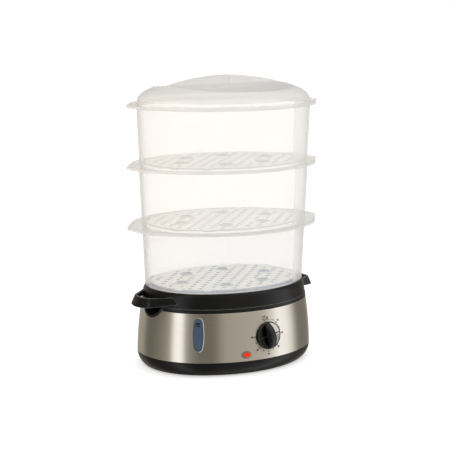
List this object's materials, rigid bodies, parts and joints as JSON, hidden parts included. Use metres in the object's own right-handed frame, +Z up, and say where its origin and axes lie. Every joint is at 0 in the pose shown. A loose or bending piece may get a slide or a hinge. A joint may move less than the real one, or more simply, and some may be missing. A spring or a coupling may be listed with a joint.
{
  "type": "electric food steamer",
  "caption": "Oval electric food steamer: timer base with water bowl and heater, handle ring, stacked see-through baskets with lift-out floors, and a domed lid.",
  "frame": {"origin": "on the standing surface, under the centre of the oval base", "axes": "+Z up, +X along the oval's length, the dial and the lamp face -Y"},
  "size_m": [0.3006, 0.2306, 0.4088],
  "materials": {
    "black_plastic": "satin moulded black",
    "bowl_black": "matt moulded black",
    "clear_plastic": "frosted translucent polypropylene",
    "bright_trim": "thin bright edge",
    "blue_plastic": "tinted translucent blue",
    "brushed_steel": "brushed round the band, warm",
    "lamp_red": "polished red lens",
    "lamp_glass": "clear glass",
    "knob_black": "gloss black",
    "knob_metal": "polished",
    "index_black": "inlaid black line",
    "foot_rubber": "matt",
    "seal_rubber": "silicone",
    "gland_rubber": "matt",
    "screw_steel": "zinc plated",
    "plate_aluminium": "satin",
    "clamp_steel": "plain",
    "element_steel": "heat tinted",
    "thermostat_cap": "plain",
    "fuse_sleeve": "white sleeve",
    "ring_grey": "grey moulded",
    "timer_white": "white moulded",
    "bell_metal": "plated",
    "shaft_brass": "plain",
    "terminal_white": "white moulded"
  },
  "bodies": {
    "base": {"bottom_cover": "black_plastic", "rubber_feet": "foot_rubber", "cover_screws": "screw_steel", "steel_band": "brushed_steel", "base_housing": "black_plastic", "lamp_bezel": "black_plastic", "lamp_lens": "lamp_red", "neon_lamp": "lamp_glass", "window_bezel": "bright_trim", "level_window": "blue_plastic", "water_bowl": "bowl_black", "heater_seal": "seal_rubber", "heater_plate": "plate_aluminium", "heater_clamp": "clamp_steel", "clamp_screws": "screw_steel", "heating_element": "element_steel", "thermostat": "thermostat_cap", "thermal_fuse": "fuse_sleeve", "timer_body": "timer_white", "timer_bell": "bell_metal", "timer_screws": "screw_steel", "cord_bush": "gland_rubber", "terminal_block": "terminal_white"},
    "timer_knob": {"control_knob": "knob_black", "knob_face": "knob_metal", "knob_pointer": "index_black", "timer_shaft": "shaft_brass"},
    "drip_tray": {"drip_tray": "blue_plastic"},
    "lid": {"lid": "clear_plastic"},
    "steam_ring": {"steam_ring": "ring_grey"},
    "handle_ring": {"handle_ring": "black_plastic"},
    "basket_1": {"basket_1": "clear_plastic"},
    "basket_2": {"basket_2": "clear_plastic"},
    "basket_3": {"basket_3": "clear_plastic"},
    "basket_floor_1": {"basket_floor_1": "clear_plastic"},
    "basket_floor_2": {"basket_floor_2": "clear_plastic"},
    "basket_floor_3": {"basket_floor_3": "clear_plastic"}
  },
  "joints": [
    {"name": "timer_turn", "type": "hinge", "parent": "base", "child": "timer_knob", "pos_m": [0, -0.10375, 0.0535], "axis": [0, 0.9966, -0.082], "range_deg": [-79.2, 190.8]},
    {"name": "steam_ring_lift", "type": "slide", "parent": "base", "child": "steam_ring", "axis": [0, 0, 1], "range_m": [0, 0.014]},
    {"name": "handle_ring_lift", "type": "slide", "parent": "base", "child": "handle_ring", "axis": [0, 0, 1], "range_m": [0, 0.06]},
    {"name": "drip_tray_lift", "type": "slide", "parent": "handle_ring", "child": "drip_tray", "axis": [0, 0, 1], "range_m": [0, 0.04]},
    {"name": "basket_1_lift", "type": "slide", "parent": "drip_tray", "child": "basket_1", "axis": [0, 0, 1], "range_m": [0, 0.06]},
    {"name": "basket_2_lift", "type": "slide", "parent": "basket_1", "child": "basket_2", "axis": [0, 0, 1], "range_m": [0, 0.06]},
    {"name": "basket_3_lift", "type": "slide", "parent": "basket_2", "child": "basket_3", "axis": [0, 0, 1], "range_m": [0, 0.06]},
    {"name": "lid_lift", "type": "slide", "parent": "basket_3", "child": "lid", "axis": [0, 0, 1], "range_m": [0, 0.06]},
    {"name": "floor_1_lift", "type": "slide", "parent": "basket_1", "child": "basket_floor_1", "axis": [0, 0, 1], "range_m": [0, 0.07]},
    {"name": "floor_2_lift", "type": "slide", "parent": "basket_2", "child": "basket_floor_2", "axis": [0, 0, 1], "range_m": [0, 0.07]},
    {"name": "floor_3_lift", "type": "slide", "parent": "basket_3", "child": "basket_floor_3", "axis": [0, 0, 1], "range_m": [0, 0.07]}
  ]
}
